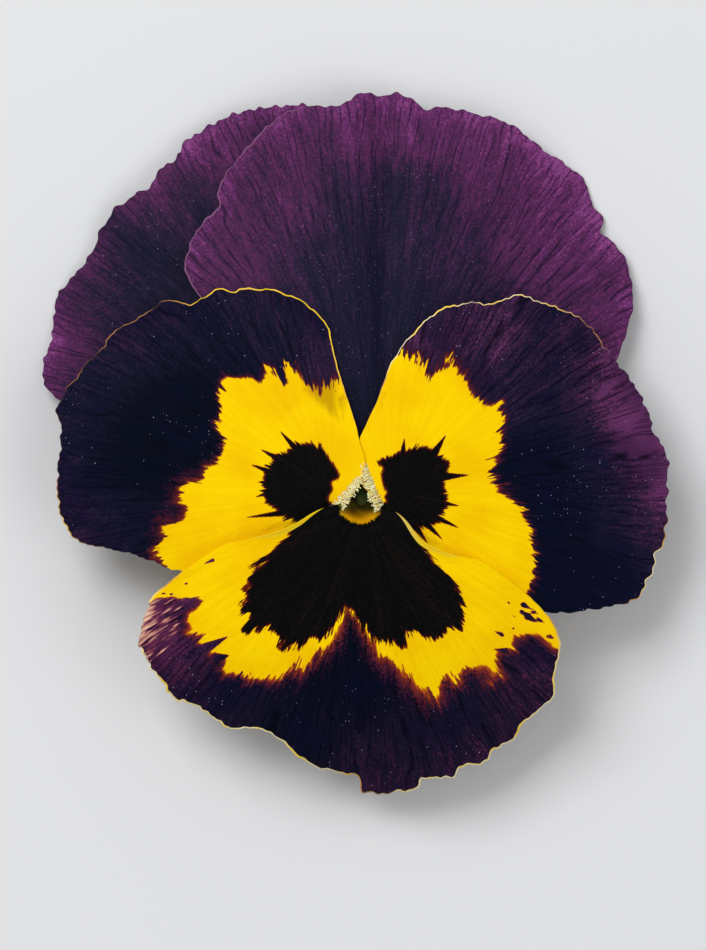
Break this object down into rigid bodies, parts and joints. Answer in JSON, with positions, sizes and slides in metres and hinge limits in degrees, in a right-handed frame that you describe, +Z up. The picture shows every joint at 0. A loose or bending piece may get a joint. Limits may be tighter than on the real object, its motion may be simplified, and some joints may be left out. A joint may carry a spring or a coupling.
{
  "type": "pansy flower",
  "caption": "Picked garden pansy lying face up: broad overlapping ruffled petals, bearded throat, nectar spur, sepals and a short bent stalk.",
  "frame": {"origin": "on the surface that the flower lies on, straight below the throat, where the stalk's flat underside rests", "axes": "+Z up out of the open face, +Y towards the upper petals, +X to the right as the face is looked at"},
  "size_m": [0.0713, 0.0799, 0.0158],
  "materials": {
    "petal_violet": "matte",
    "petal_marked": "matte",
    "beard": "matte",
    "stalk": "satin",
    "sepal": "satin",
    "pistil": "satin",
    "anther": "matte"
  },
  "bodies": {
    "root": {"petal_upper_left": "petal_violet", "petal_upper_right": "petal_violet", "petal_lateral_left": "petal_marked", "petal_lateral_right": "petal_marked", "petal_lower": "petal_marked", "beard_left": "beard", "beard_right": "beard", "pedicel": "stalk", "sepal_north": "sepal", "sepal_east": "sepal", "sepal_south_east": "sepal", "sepal_south_west": "sepal", "sepal_west": "sepal", "pistil": "pistil", "stamen_1": "anther", "stamen_2": "anther", "stamen_3": "anther", "stamen_4": "anther", "stamen_5": "anther"}
  },
  "joints": []
}
